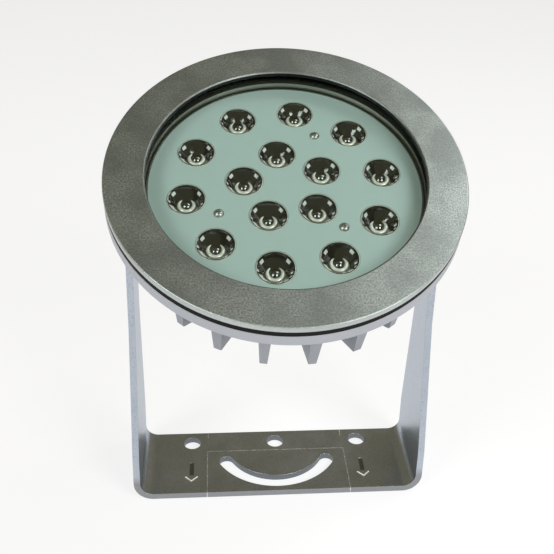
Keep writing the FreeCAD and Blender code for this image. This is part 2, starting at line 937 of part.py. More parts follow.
chip_places = [(-20.0, 6.0, 9.0, 6.0), (20.0, 6.0, 9.0, 6.0), (0.0, -9.0, 8.0, 5.0)]
save_lamp(
    "driver_chips",
    [
        block(length, width, driver_board_back, driver_board_back + 1.8, x, y)
        for x, y, length, width in chip_places
    ],
)
terminal_y = 16.0
terminal_back = driver_board_back + terminal_height
terminal = block(
    terminal_length, terminal_width, driver_board_back, terminal_back, 0.0, terminal_y
)
terminal_screw_places = [(-terminal_length / 4, terminal_y), (terminal_length / 4, terminal_y)]
terminal = bored(
    terminal,
    terminal_screw_places,
    terminal_screw_radius,
    terminal_back - 4.0,
    terminal_back + 1,
)
for x, y in terminal_screw_places:
    entry = Part.makeBox(
        3.0,
        terminal_width,
        2.6,
        Vector(x - 1.5, y - terminal_width / 2 - 3.0, level(driver_board_back + 4.4)),
    )
    terminal = terminal.cut(entry)
save_lamp("supply_terminal_block", terminal)
terminal_screws = []
for x, y in terminal_screw_places:
    body = disc(terminal_screw_radius, terminal_back - 4.0, terminal_back - 0.5, x, y)
    slit = block(terminal_screw_radius * 3, 0.6, terminal_back - 1.3, terminal_back, x, y)
    terminal_screws.append(body.cut(slit))
save_lamp("terminal_screws", terminal_screws)

# ---- rear cover ----
cover_outline = [
    (0.0, housing_depth),
    (driver_wall_radius, housing_depth),
    (driver_wall_radius, cover_back - 1.0),
    (driver_wall_radius - 1.0, cover_back),
    (cover_boss_radius + 1.0, cover_back),
    (cover_boss_radius, cover_back + 1.0),
    (cover_boss_radius, gland_seat),
    (0.0, gland_seat),
]
cover = turned(cover_outline)
cover = bored(
    cover, cover_screw_places, case_clearance_radius, housing_depth - 1, cover_back + 1
)
cover = bored(
    cover, cover_screw_places, case_counterbore_radius, cover_screw_seat, cover_back + 1
)
cover = cover.cut(disc(gland_thread_radius + thread_gap, housing_depth - 1, gland_seat + 1))
save_lamp("rear_cover", cover)

cover_seal = Part.makeTorus(
    cover_seal_circle, cover_seal_cord, Vector(0, 0, level(housing_depth - cover_seal_cord))
)
save_lamp("rear_cover_seal", cover_seal)

cover_screws = []
for x, y in cover_screw_places:
    shank = disc(case_screw_radius, cover_screw_tip, cover_screw_seat, x, y)
    head = disc(case_head_radius, cover_screw_seat, cover_screw_seat + case_head_height, x, y)
    socket = hexagon(
        case_head_radius * 0.86,
        cover_screw_seat + case_head_height / 2,
        cover_screw_seat + case_head_height + 1,
        x,
        y,
    )
    cover_screws.append(fused([shank, head]).cut(socket))
save_lamp("rear_cover_screws", cover_screws)

# ---- cable gland ----
gasket_back = gland_seat + gland_gasket_thickness
hex_back = gasket_back + gland_hex_height
outer_thread_end = hex_back + gland_outer_length
seal_front = outer_thread_end - gland_seal_seat
seal_back = seal_front + gland_seal_length
nut_front = hex_back + gland_nut_gap
nut_back = seal_back + gland_cap_thickness
gland_body = fused(
    [
        disc(gland_thread_radius, gland_seat - gland_inner_length, gasket_back),
        hexagon(gland_flats, gasket_back, hex_back),
        disc(gland_outer_thread_radius, hex_back, outer_thread_end),
    ]
)
gland_body = gland_body.cut(
    disc(gland_bore_radius, gland_seat - gland_inner_length - 1, outer_thread_end + 1)
)
gland_body = gland_body.cut(
    disc(gland_seal_outer_radius + thread_gap, seal_front, outer_thread_end + 1)
)
save_lamp("gland_body", gland_body)
save_lamp(
    "gland_gasket",
    ring(
        gland_flats / 2,
        gland_thread_radius + thread_gap,
        gland_seat,
        gasket_back,
    ),
)
save_lamp(
    "gland_seal",
    ring(gland_seal_outer_radius, gland_seal_bore_radius, seal_front, seal_back),
)
gland_nut = hexagon(gland_flats, nut_front, nut_back)
dome_tool = Part.makeSphere(
    gland_flats * 0.78, Vector(0, 0, level(nut_back - gland_flats * 0.70))
)
nut_skirt = disc(gland_flats, nut_front, nut_back - gland_flats * 0.3)
gland_nut = gland_nut.common(fused([dome_tool, nut_skirt]))
gland_nut = gland_nut.cut(
    disc(gland_outer_thread_radius + thread_gap, nut_front - 1, seal_back)
)
gland_nut = gland_nut.cut(disc(gland_bore_radius, nut_front - 1, nut_back + 1))
save_lamp("gland_nut", gland_nut)
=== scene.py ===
import json
import math

import bmesh
import bpy
from mathutils import Matrix, Vector


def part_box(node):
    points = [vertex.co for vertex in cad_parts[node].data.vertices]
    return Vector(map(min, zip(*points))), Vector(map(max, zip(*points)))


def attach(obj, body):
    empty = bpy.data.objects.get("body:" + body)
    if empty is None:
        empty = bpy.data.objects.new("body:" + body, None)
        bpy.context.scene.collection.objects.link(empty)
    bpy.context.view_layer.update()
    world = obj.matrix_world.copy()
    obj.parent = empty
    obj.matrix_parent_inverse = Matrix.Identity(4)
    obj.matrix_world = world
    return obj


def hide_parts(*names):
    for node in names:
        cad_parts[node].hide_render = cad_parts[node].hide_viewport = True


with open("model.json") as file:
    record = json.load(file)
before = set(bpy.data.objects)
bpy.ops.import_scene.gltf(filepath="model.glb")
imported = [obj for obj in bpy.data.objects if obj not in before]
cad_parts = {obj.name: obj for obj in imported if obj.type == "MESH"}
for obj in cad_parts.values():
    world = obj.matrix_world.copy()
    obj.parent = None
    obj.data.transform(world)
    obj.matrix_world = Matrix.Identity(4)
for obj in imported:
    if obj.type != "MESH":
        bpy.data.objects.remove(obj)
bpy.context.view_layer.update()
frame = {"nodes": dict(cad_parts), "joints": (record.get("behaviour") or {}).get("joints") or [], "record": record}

MM = 0.001

# ---- the lamp's own frame: origin on the pivot, +Z out through the glass ----
tilt_joint = next(joint for joint in frame["joints"] if joint["name"] == "lamp_tilt")
pivot = Vector(tilt_joint["pos_m"])
lean = math.radians(90.0 - tilt_joint["range_deg"][1])
lamp_place = Matrix.Translation(pivot) @ Matrix.Rotation(lean, 4, "X")
lamp_inverse = lamp_place.inverted()


def lamp_heights(node):
    """Lowest and highest Z of a node in the lamp's own frame."""
    heights = [(lamp_inverse @ v.co).z for v in frame["nodes"][node].data.vertices]
    return min(heights), max(heights)


def half_width(node):
    """Outer radius of a round node, or half the width of any other."""
    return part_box(node)[1].x


# ---- sizes that the parts' boxes don't give ----
aperture = 77.2 * MM  # radius of the bezel's opening
chamfer = 0.8 * MM
lip = 3.0 * MM  # thickness of the bezel over the glass
rim_round = 1.0 * MM
rim_edge = 4.0 * MM  # height of the bezel's side band
rebate = 3.0 * MM
rebate_gap = 0.1 * MM
pocket = 85.0 * MM  # radius of the recess that takes the glass
seal_setback = 0.2 * MM
seal_inner = 78.0 * MM
rear_seal_inner = 81.5 * MM
rim = half_width("bezel_ring")

weld = 0.002 * MM  # corners closer than this are one
tiny = 0.01 * MM

# bracket: plate, scribed lines and arrow marks, from the middle of the base
plate_half_depth = 28.0 * MM
plate_thickness = 4.0 * MM
scribe_side = 45.0 * MM
scribe_back = 9.4 * MM
arrow_side = 55.0 * MM
arrow_tip = 18.6 * MM
arrow_neck = 12.6 * MM
arrow_half_width = 4.6 * MM

# lens, in mm from its axis and from its front
lens_facets = 40
cup_mouth = 9.75
cup_edge = 10.27
cup_foot = -6.8
dome_radius = 3.0
dome_curve = 3.5
dome_top = -3.9
# the collar is a pale crescent round the dome, a painted reflection of the lamps
collar_middle = 4.1
collar_half_width = 1.05
collar_height = 0.85
collar_foot = -5.6
collar_sweep = 296.0  # degrees
collar_taper = 62.0  # degrees at each end

# facets of a cup that carry painted glints, pale plates standing for reflections of the lamps: first and last
# angle, smallest and largest radius in mm
glints = (
    (202.0, 231.0, 7.6, 9.75),
    (300.0, 318.0, 7.9, 9.75),
    (134.0, 153.0, 8.4, 9.2),
    (30.0, 44.0, 8.4, 9.2),
    (184.0, 191.0, 8.8, 9.6),
    (340.0, 347.0, 8.3, 9.2),
    (240.0, 248.0, 8.8, 9.75),
    (325.0, 331.0, 9.0, 9.75),
)


# ---- shader maths ----
class Value:
    """One output of a shader node. Sums, products and powers of it add their Math nodes."""

    def __init__(self, recipe, socket):
        self.recipe = recipe
        self.socket = socket

    def maths(self, operation, first, second=0.0, clamp=False):
        node = self.recipe.node(
            "Math",
            {"operation": operation, "use_clamp": clamp},
            {0: first, 1: second},
        )
        return node["Value"]

    def __add__(self, other):
        return self.maths("ADD", self, other)

    __radd__ = __add__

    def __sub__(self, other):
        return self.maths("SUBTRACT", self, other)

    def __rsub__(self, other):
        return self.maths("SUBTRACT", other, self)

    def __mul__(self, other):
        return self.maths("MULTIPLY", self, other)

    __rmul__ = __mul__

    def __pow__(self, other):
        return self.maths("POWER", self, other)

    def __abs__(self):
        return self.maths("ABSOLUTE", self)

    def below(self, limit, softness):
        """1 where this is under the limit, falling to 0 over softness."""
        return self.maths("DIVIDE", limit + softness - self, softness, clamp=True)

    def above(self, limit, softness):
        """1 where this is over the limit, falling to 0 over softness."""
        return self.maths("DIVIDE", self - (limit - softness), softness, clamp=True)


class Outputs:
    """A node's outputs by name or number."""

    def __init__(self, recipe, node):
        self.recipe = recipe
        self.node = node

    def __getitem__(self, name):
        return Value(self.recipe, self.node.outputs[name])


class Recipe:
    """One material being made."""

    def __init__(self, name):
        self.material = bpy.data.materials.new(name)
        self.material.use_nodes = True
        self.tree = self.material.node_tree
        self.tree.nodes.clear()

    def node(self, kind, settings=None, values=None):
        """Add a node: its settings first, then the values or links of its sockets."""
        made = self.tree.nodes.new("ShaderNode" + kind)
        for key, setting in (settings or {}).items():
            setattr(made, key, setting)
        for key, value in (values or {}).items():
            socket = made.inputs[key]
            if isinstance(value, Value):
                self.tree.links.new(value.socket, socket)
            elif socket.type == "RGBA" and len(value) == 3:
                socket.default_value = (*value, 1.0)
            else:
                socket.default_value = value
        return Outputs(self, made)

    def place(self, on_lamp=False):
        """Object coordinates in metres; for the lamp they are turned into its own frame."""
        coords = self.node("TexCoord")["Object"]
        if not on_lamp:
            return coords
        turned = self.node(
            "Mapping",
            {"vector_type": "TEXTURE"},
            {"Vector": coords, "Location": pivot, "Rotation": (lean, 0.0, 0.0)},
        )
        return turned["Vector"]

    def reach(self, parts):
        """Distance from the Z axis."""
        squares = parts["X"] ** 2 + parts["Y"] ** 2
        return self.node("Math", {"operation": "SQRT"}, {0: squares})["Value"]

    def noise(self, coords, size, detail=2.0, roughness=0.5, stretch=None):
        """Noise about 0.5 whose features are about this size in metres."""
        if stretch:
            coords = self.node(
                "VectorMath", {"operation": "MULTIPLY"}, {0: coords, 1: stretch}
            )["Vector"]
        made = self.node(
            "TexNoise",
            {"noise_dimensions": "3D"},
            {"Vector": coords, "Scale": 1.0 / size, "Detail": detail, "Roughness": roughness},
        )
        return made["Fac"]

    def blend(self, factor, first, second):
        """Colour between two colours."""
        mixed = self.node(
            "Mix",
            {"data_type": "RGBA", "blend_type": "MIX", "clamp_factor": True},
            {0: factor, 6: first, 7: second},
        )
        return mixed[2]

    def bump(self, height, depth):
        """Normal from a height of 0 to 1 that stands this many metres high."""
        values = {"Height": height, "Strength": 1.0, "Distance": depth}
        return self.node("Bump", {}, values)["Normal"]

    def surface(self, **values):
        """Finish with a Principled shader; underscores in names stand for spaces."""
        sockets = {key.replace("_", " "): value for key, value in values.items()}
        shader = self.node("BsdfPrincipled", {}, sockets)["BSDF"]
        return self.end(shader)

    def end(self, shader):
        self.node("OutputMaterial", {}, {"Surface": shader})
        return self.material


# ---- finishes ----
def blasted_stainless():
    """Bead-blasted grey ring: grain over cloudy patches, a painted highlight on its side band, and painted shade
    on its chamfer and, near-black, on the wall of its opening.
    """
    r = Recipe("blasted_stainless")
    at = r.place(on_lamp=True)
    speck = r.noise(at, 1.0 * MM, 2.0, 0.65)
    fine = r.noise(at, 0.4 * MM, 1.0)
    cloud = r.noise(at, 26 * MM, 3.0, 0.55)
    tone = r.blend(speck.above(0.72, 0.42), (0.20, 0.235, 0.235), (0.50, 0.555, 0.545))
    tone = r.blend(cloud.above(0.62, 0.26) * 0.62, tone, (0.19, 0.215, 0.21))
    parts = r.node("SeparateXYZ", {}, {0: at})
    reach = r.reach(parts)
    # painted shade: the wall of the opening is painted near-black and the chamfer darker, as shade in the recess
    opening = reach.below(aperture + 0.1 * MM, 0.05 * MM)
    edge = reach.below(aperture + chamfer + 0.05 * MM, 0.05 * MM)
    tone = r.blend(edge * 0.45, tone, (0.10, 0.10, 0.09))
    tone = r.blend(opening * 0.93, tone, (0.015, 0.016, 0.014))
    # painted highlight: the rim's side band is painted lighter
    side_painted_highlight = reach.above(rim - 0.4 * MM, 0.2 * MM)
    tone = r.blend(side_painted_highlight * 0.55, tone, (0.66, 0.70, 0.69))
    rough = 0.34 + 0.16 * speck + 0.06 * cloud
    relief = r.bump(speck * 0.7 + fine * 0.3, 0.13 * MM)
    return r.surface(Base_Color=tone, Metallic=1.0, Roughness=rough, Normal=relief)


def satin_stainless():
    """Rolled sheet for the bracket: scribed lines, a dark cut front edge, painted shade on the walls of its holes
    and slot, and a painted highlight on the walls of the arrow heads.
    """
    r = Recipe("satin_stainless")
    at = r.place()
    cloud = r.noise(at, 14 * MM, 3.0, 0.6)
    pits = r.noise(at, 0.7 * MM, 2.0, 0.7)
    grain = r.noise(at, 0.6 * MM, 2.0, 0.6, stretch=(1.0, 14.0, 1.0))
    tone = r.blend(cloud, (0.385, 0.43, 0.495), (0.54, 0.595, 0.675))
    tone = r.blend(pits.above(0.68, 0.14) * 0.7, tone, (0.24, 0.245, 0.24))
    parts = r.node("SeparateXYZ", {}, {0: at})
    x, y, z = abs(parts["X"]), parts["Y"], parts["Z"]
    wear = r.noise(at, 1.5 * MM, 3.0, 0.7)
    fade = 0.1 * MM
    front_edge = y.below(0.25 * MM - plate_half_depth, fade) * z.below(12 * MM, 6 * MM)
    tone = r.blend(front_edge * (0.6 + 0.4 * wear), tone, (0.26, 0.26, 0.26))
    on_plate = z.below(plate_thickness + 0.3 * MM, fade)
    hair = 0.16 * MM
    soft = 0.12 * MM
    side_line = abs(x - scribe_side).below(hair, soft) * y.below(scribe_back, soft)
    cross_line = abs(y - scribe_back).below(hair, soft) * x.below(scribe_side, soft)
    tick = abs(x - (scribe_side - 0.3 * MM)).below(hair, soft) * y.above(22 * MM, soft)
    scribed = (side_line + cross_line + tick) * on_plate * wear.above(0.62, 0.3)
    tone = r.blend(scribed, tone, (0.95, 0.95, 0.92))
    # painted shade: the walls of the holes, slot and recesses in the plate are painted dark
    sunk = z.below(plate_thickness - 0.2 * MM, 0.05 * MM) * z.above(0.3 * MM, 0.05 * MM)
    inside = abs(y).below(plate_half_depth - 0.6 * MM, fade) * x.below(80 * MM, 1 * MM)
    punched = sunk * inside
    tone = r.blend(punched * 0.7, tone, (0.07, 0.07, 0.06))
    # painted highlight: the walls of the arrow heads are painted pale and less metallic
    head = y.below(-arrow_neck, fade) * y.above(-arrow_tip, fade)
    arrow_head_painted_highlight = punched * head * abs(x - arrow_side).below(arrow_half_width, fade)
    tone = r.blend(arrow_head_painted_highlight, tone, (0.9, 0.9, 0.88))
    rough = 0.24 + 0.14 * cloud + 0.08 * grain + 0.3 * scribed
    relief = r.bump(pits * 0.6 + grain * 0.4, 0.035 * MM)
    return r.surface(
        Base_Color=tone, Metallic=1.0 - 0.8 * arrow_head_painted_highlight, Roughness=rough, Normal=relief
    )


def cast_aluminium():
    """Sand-textured casting with a painted highlight on its flange's edge, and bright on its turned chamber wall.
    """
    r = Recipe("cast_aluminium")
    at = r.place(on_lamp=True)
    sand = r.noise(at, 0.8 * MM, 3.0, 0.6)
    cloud = r.noise(at, 18 * MM, 2.0)
    tone = r.blend(cloud, (0.295, 0.315, 0.35), (0.37, 0.39, 0.43))
    tone = r.blend(sand.above(0.7, 0.15) * 0.4, tone, (0.22, 0.225, 0.235))
    parts = r.node("SeparateXYZ", {}, {0: at})
    reach = r.reach(parts)
    turned = reach.below(pocket + 0.5 * MM, 0.2 * MM) * parts["Z"].above(15 * MM, 1 * MM)
    lines = r.noise(at, 0.5 * MM, 2.0, 0.6, stretch=(0.02, 0.02, 1.0))
    tone = r.blend(turned, tone, (0.50, 0.49, 0.43))
    # painted highlight: the flange's outer edge is painted lighter than the rest of the casting
    flange_edge_painted_highlight = reach.above(rim - 0.6 * MM, 0.2 * MM)
    tone = r.blend(flange_edge_painted_highlight * 0.85, tone, (0.47, 0.49, 0.53))
    rough = 0.48 + 0.14 * sand - turned * (0.30 - 0.1 * lines)
    relief = r.bump(sand * (1.0 - turned), 0.10 * MM)
    return r.surface(
        Base_Color=tone, Metallic=0.5 + 0.5 * turned, Roughness=rough, Normal=relief
    )


def painted_plate():
    """Pale green-grey paint with a painted shade line where the plate ends at the wall."""
    r = Recipe("pale_painted_plate")
    at = r.place(on_lamp=True)
    mottle = r.noise(at, 9 * MM, 3.0, 0.6)
    orange_peel = r.noise(at, 1.2 * MM, 2.0)
    parts = r.node("SeparateXYZ", {}, {0: at})
    reach = r.reach(parts)
    tone = r.blend(mottle, (0.375, 0.475, 0.475), (0.405, 0.505, 0.505))
    # painted shade: the panel's outer edge is painted near-black where it meets the wall
    wall_gap_painted_shade = reach.above(seal_inner - 1.5 * MM, 0.3 * MM)
    tone = r.blend(wall_gap_painted_shade, tone, (0.05, 0.055, 0.05))
    rough = 0.34 + 0.10 * mottle
    relief = r.bump(orange_peel, 0.01 * MM)
    return r.surface(Base_Color=tone, Roughness=rough, Normal=relief)


def clear_glass():
    """Glass that lets light straight through and mirrors more of it at a slant."""
    r = Recipe("clear_glass")
    at = r.place(on_lamp=True)
    smear = r.noise(at, 30 * MM, 2.0)
    seen_through = r.node("BsdfTransparent", {}, {"Color": (0.95, 0.985, 0.97)})["BSDF"]
    gloss = r.node(
        "BsdfPrincipled",
        {},
        {
            "Base Color": (0.9, 0.95, 0.93),
            "Metallic": 1.0,
            "Roughness": 0.02 + 0.05 * smear,
        },
    )["BSDF"]
    slant = r.node("LayerWeight", {}, {"Blend": 0.5})["Facing"]
    share = 0.04 + 0.96 * slant**5
    glass = r.node("MixShader", {}, {0: share, 1: seen_through, 2: gloss})["Shader"]
    return r.end(glass)


def plain(name, low, high, size, metallic, rough, rough_spread, depth, **more):
    """A finish with two mottled tones, uneven gloss and a fine surface relief."""
    r = Recipe(name)
    at = r.place(on_lamp=True)
    mottle = r.noise(at, size * MM, 3.0, 0.6)
    tone = r.blend(mottle, low, high)
    relief = r.bump(mottle, depth * MM)
    return r.surface(
        Base_Color=tone,
        Metallic=metallic,
        Roughness=rough + rough_spread * mottle,
        Normal=relief,
        **more,
    )


# name: dark tone, light tone, mottle size in mm, metallic, roughness, its spread,
# relief in mm
plain_finishes = {
    "black_silicone": ((0.004, 0.004, 0.004), (0.008, 0.008, 0.008), 1.5, 0.0, 0.55, 0.2, 0.03),
    "bright_stainless": ((0.34, 0.34, 0.33), (0.46, 0.46, 0.45), 2, 1.0, 0.28, 0.16, 0.01),
    "nickelled_brass": ((0.66, 0.63, 0.57), (0.76, 0.73, 0.67), 3, 1.0, 0.16, 0.14, 0.01),
    "white_nylon": ((0.74, 0.74, 0.72), (0.82, 0.82, 0.80), 2, 0.0, 0.42, 0.15, 0.02),
    "clear_lens": ((0.035, 0.037, 0.038), (0.13, 0.13, 0.13), 2.2, 1.0, 0.05, 0.05, 0.01),
    "lens_dome": ((0.16, 0.16, 0.16), (0.22, 0.22, 0.22), 1, 1.0, 0.06, 0.05, 0.005),
    # painted glint: near-white finish for the plates that stand for reflections in the cups
    "lens_painted_glint": ((0.80, 0.81, 0.80), (0.95, 0.96, 0.95), 1, 0.2, 0.2, 0.15, 0.01),
    # painted highlight: pale finish for the lens collars and rims
    "lens_painted_highlight": ((0.62, 0.62, 0.55), (0.88, 0.88, 0.80), 1.2, 0.35, 0.22, 0.2, 0.03),
    "dark_cup": ((0.012, 0.012, 0.012), (0.03, 0.03, 0.03), 2, 0.0, 0.25, 0.15, 0.02),
    "yellow_emitter": ((0.75, 0.58, 0.12), (0.85, 0.68, 0.2), 1, 0.0, 0.3, 0.1, 0.01),
    "white_board": ((0.78, 0.79, 0.77), (0.84, 0.85, 0.83), 6, 0.0, 0.35, 0.1, 0.01),
    "grey_pad": ((0.30, 0.31, 0.33), (0.36, 0.37, 0.39), 2, 0.0, 0.7, 0.15, 0.03),
    "red_insulation": ((0.50, 0.03, 0.02), (0.62, 0.05, 0.03), 2, 0.0, 0.38, 0.1, 0.01),
    "black_insulation": ((0.012, 0.012, 0.012), (0.025, 0.025, 0.025), 2, 0.0, 0.38, 0.1, 0.01),
    "green_board": ((0.02, 0.16, 0.06), (0.03, 0.22, 0.09), 5, 0.0, 0.3, 0.12, 0.02),
    "black_can": ((0.015, 0.015, 0.02), (0.03, 0.03, 0.04), 3, 0.0, 0.35, 0.1, 0.01),
    "dark_core": ((0.03, 0.03, 0.03), (0.06, 0.055, 0.05), 1.5, 0.2, 0.55, 0.2, 0.04),
    "black_chip": ((0.014, 0.014, 0.014), (0.03, 0.03, 0.03), 1, 0.0, 0.5, 0.15, 0.01),
    "green_terminal": ((0.03, 0.30, 0.12), (0.05, 0.38, 0.16), 4, 0.0, 0.4, 0.12, 0.01),
}
softer_gloss = {"black_silicone": {"IOR": 1.2}}

finishes = {
    "blasted_stainless": blasted_stainless(),
    "satin_stainless": satin_stainless(),
    "cast_aluminium": cast_aluminium(),
    "clear_glass": clear_glass(),
    "pale_painted_plate": painted_plate(),
}
for name, look in plain_finishes.items():
    finishes[name] = plain(name, *look, **softer_gloss.get(name, {}))


# ---- pieces ----
def add_piece(name, mesh, body, slot, nodes, sharp=35.0, placed=False, finish=None):
    """Make the mesh an object that rides on a body and stands for its CAD nodes."""
    data = bpy.data.meshes.new(name)
    mesh.to_mesh(data)
    mesh.free()
    if placed:
        data.transform(lamp_place)
    data.shade_smooth()
    data.set_sharp_from_angle(angle=math.radians(sharp))
    data.materials.append(finishes[finish or slot])
    piece = bpy.data.objects.new(name, data)
    bpy.context.scene.collection.objects.link(piece)
    even = piece.modifiers.new("even_normals", "WEIGHTED_NORMAL")
    even.keep_sharp = True
    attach(piece, body)
    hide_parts(*nodes)


def round_edges(mesh, edges, width, segments=2):
    """Round these edges by this width."""
    bmesh.ops.bevel(
        mesh,
        geom=edges,
        offset=width,
        offset_type="OFFSET",
        segments=segments,
        profile=0.5,
        affect="EDGES",
        material=-1,
        clamp_overlap=True,
    )


def sharp_edges(mesh, angle):
    """The edges whose faces meet at more than this many degrees."""
    return [
        edge
        for edge in mesh.edges
        if len(edge.link_faces) == 2 and edge.calc_face_angle(0.0) > math.radians(angle)
    ]


def softened(node, body, width):
    """A welded copy of a node whose sharp edges are rounded by this width."""
    mesh = bmesh.new()
    mesh.from_mesh(frame["nodes"][node].data)
    bmesh.ops.remove_doubles(mesh, verts=mesh.verts[:], dist=weld)
    bmesh.ops.dissolve_limit(
        mesh,
        angle_limit=math.radians(0.5),
        verts=mesh.verts[:],
        edges=mesh.edges[:],
        use_dissolve_boundaries=False,
    )
    round_edges(mesh, sharp_edges(mesh, 30.0), width)
    add_piece(node + "_piece", mesh, body, node_slots[node], [node])


def spun(outline, steps=180, closed=True):
    """Turned shape about the lamp's axis from (radius, height) corners in its own frame."""
    mesh = bmesh.new()
    corners = [mesh.verts.new((radius, 0.0, height)) for radius, height in outline]
    pairs = list(zip(corners, corners[1:]))
    if closed:
        pairs.append((corners[-1], corners[0]))
    edges = [mesh.edges.new(pair) for pair in pairs]
    bmesh.ops.spin(
        mesh,
        geom=corners + edges,
        cent=(0.0, 0.0, 0.0),
        axis=(0.0, 0.0, 1.0),
        dvec=(0.0, 0.0, 0.0),
        angle=math.radians(360.0),
        steps=steps,
        use_merge=True,
    )
    bmesh.ops.remove_doubles(mesh, verts=mesh.verts[:], dist=0.0005 * MM)
    bmesh.ops.recalc_face_normals(mesh, faces=mesh.faces[:])
    return mesh


def circle_edges(mesh, radius, height):
    """The edges of one turned corner."""
    found = []
    for edge in mesh.edges:
        if all(
            abs(math.hypot(v.co.x, v.co.y) - radius) < tiny and abs(v.co.z - height) < tiny
            for v in edge.verts
        ):
            found.append(edge)
    return found


def join_copies(shapes):
    """One mesh from (shape, matrix) pairs."""
    whole = bmesh.new()
    for shape, matrix in shapes:
        data = bpy.data.meshes.new("copy")
        shape.to_mesh(data)
        data.transform(matrix)
        whole.from_mesh(data)
        bpy.data.meshes.remove(data)
    return whole


def solids_of(node):
    """Centres, in the lamp's frame, of the separate solids of a node."""
    mesh = bmesh.new()
    mesh.from_mesh(frame["nodes"][node].data)
    bmesh.ops.remove_doubles(mesh, verts=mesh.verts[:], dist=weld)
    left = set(mesh.verts)
    centres = []
    while left:
        group = []
        reach = [left.pop()]
        while reach:
            vert = reach.pop()
            group.append(lamp_inverse @ vert.co)
            for edge in vert.link_edges:
                other = edge.other_vert(vert)
                if other in left:
                    left.remove(other)
                    reach.append(other)
        low = [min(co[axis] for co in group) for axis in range(3)]
        high = [max(co[axis] for co in group) for axis in range(3)]
        centres.append(tuple((a + b) / 2 for a, b in zip(low, high)))
    mesh.free()
    return sorted(centres)


def bezel():
    """Ring with a wide flat face, a rounded rim, a chamfered opening and a rebate behind."""
    back, front = lamp_heights("bezel_ring")
    outline = [
        (aperture, front - lip),
        (aperture, front - chamfer),
        (aperture + chamfer, front),
        (rim, front),
        (rim, front - rim_edge),
        (rim - rebate, front - rim_edge),
        (rim - rebate, back),
        (pocket, back),
        (pocket, front - lip),
    ]
    mesh = spun(outline, 240)
    round_edges(mesh, circle_edges(mesh, rim, front), rim_round, 5)
    round_edges(mesh, circle_edges(mesh, rim, front - rim_edge), 0.4 * MM, 3)
    round_edges(mesh, circle_edges(mesh, aperture + chamfer, front), 0.25 * MM, 2)
    round_edges(mesh, circle_edges(mesh, aperture, front - lip), 0.2 * MM, 2)
    add_piece("bezel_ring_piece", mesh, "lamp", "blasted_stainless", ["bezel_ring"], placed=True)


def flat_ring(node, inner):
    """A plain seal between this radius and its node's outer one."""
    back, front = lamp_heights(node)
    outer = half_width(node)
    mesh = spun([(inner, front), (outer, front), (outer, back), (inner, back)], 200)
    round_edges(mesh, sharp_edges(mesh, 60.0), 0.15 * MM)
    add_piece(node + "_piece", mesh, "lamp", node_slots[node], [node], placed=True)


def gasket():
    """Black seal whose lip fills the rebate behind the bezel's edge."""
    back, front = lamp_heights("flange_gasket")
    outer = half_width("flange_gasket")
    inner = pocket + seal_setback
    lip_inner = rim - rebate + rebate_gap
    step = lamp_heights("bezel_ring")[0]
    outline = [
        (inner, step),
        (lip_inner, step),
        (lip_inner, front),
        (outer, front),
        (outer, back),
        (inner, back),
    ]
    mesh = spun(outline, 200)
    round_edges(mesh, circle_edges(mesh, outer, front), 0.25 * MM, 2)
    add_piece(
        "flange_gasket_piece", mesh, "lamp", "black_silicone", ["flange_gasket"], placed=True
    )


def glass():
    """Clear disc with ground edges."""
    back, front = lamp_heights("front_glass")
    edge = half_width("front_glass")
    mesh = spun([(0.0, front), (edge, front), (edge, back), (0.0, back)], 200)
    round_edges(mesh, sharp_edges(mesh, 60.0), 0.5 * MM, 3)
    add_piece("front_glass_piece", mesh, "lamp", "clear_glass", ["front_glass"], placed=True)


def lens_cup(front):
    """Solid cup of one lens with a faceted hollow."""
    steps = 7
    outline = [(0.0, -5.85), (3.2, -5.75)]
    for i in range(steps, -1, -1):
        depth = i / steps
        outline.append((cup_mouth - 4.7 * depth**1.25, -0.25 - 5.4 * depth))
    outline += [(10.2, -0.08), (cup_edge, -0.25), (cup_edge, -3.2)]
    outline += [(6.0, cup_foot), (0.0, cup_foot)]
    return spun([(r * MM, front + z * MM) for r, z in outline], lens_facets, closed=False)


def painted_glint_plates(cup):
    """Thin pale plates on the chosen facets of the hollow: painted glints standing for reflections of the lamps.
    """
    plates = cup.copy()
    spare = []
    for face in plates.faces:
        centre = face.calc_center_median()
        turn = math.degrees(math.atan2(centre.y, centre.x)) % 360.0
        reach = math.hypot(centre.x, centre.y) / MM
        chosen = any(
            first <= turn <= last and low <= reach <= high for first, last, low, high in glints
        )
        if face.normal.z < 0.1 or not chosen:
            spare.append(face)
    bmesh.ops.delete(plates, geom=spare, context="FACES")
    plates.normal_update()
    for vert in plates.verts:
        vert.co += vert.normal * 0.07 * MM
    bmesh.ops.solidify(plates, geom=plates.faces[:], thickness=0.05 * MM)
    bmesh.ops.recalc_face_normals(plates, faces=plates.faces[:])
    return plates


def lens_dome(front):
    """Polished dome at the bottom of the cup."""
    steps = 8
    outline = []
    for i in range(steps + 1):
        a = math.asin(dome_radius / dome_curve) * i / steps
        outline.append((dome_curve * math.sin(a), dome_top - dome_curve * (1.0 - math.cos(a))))
    outline += [(dome_radius + 0.05, -5.9), (0.0, -5.9)]
    return spun([(r * MM, front + z * MM) for r, z in outline], 48, closed=False)


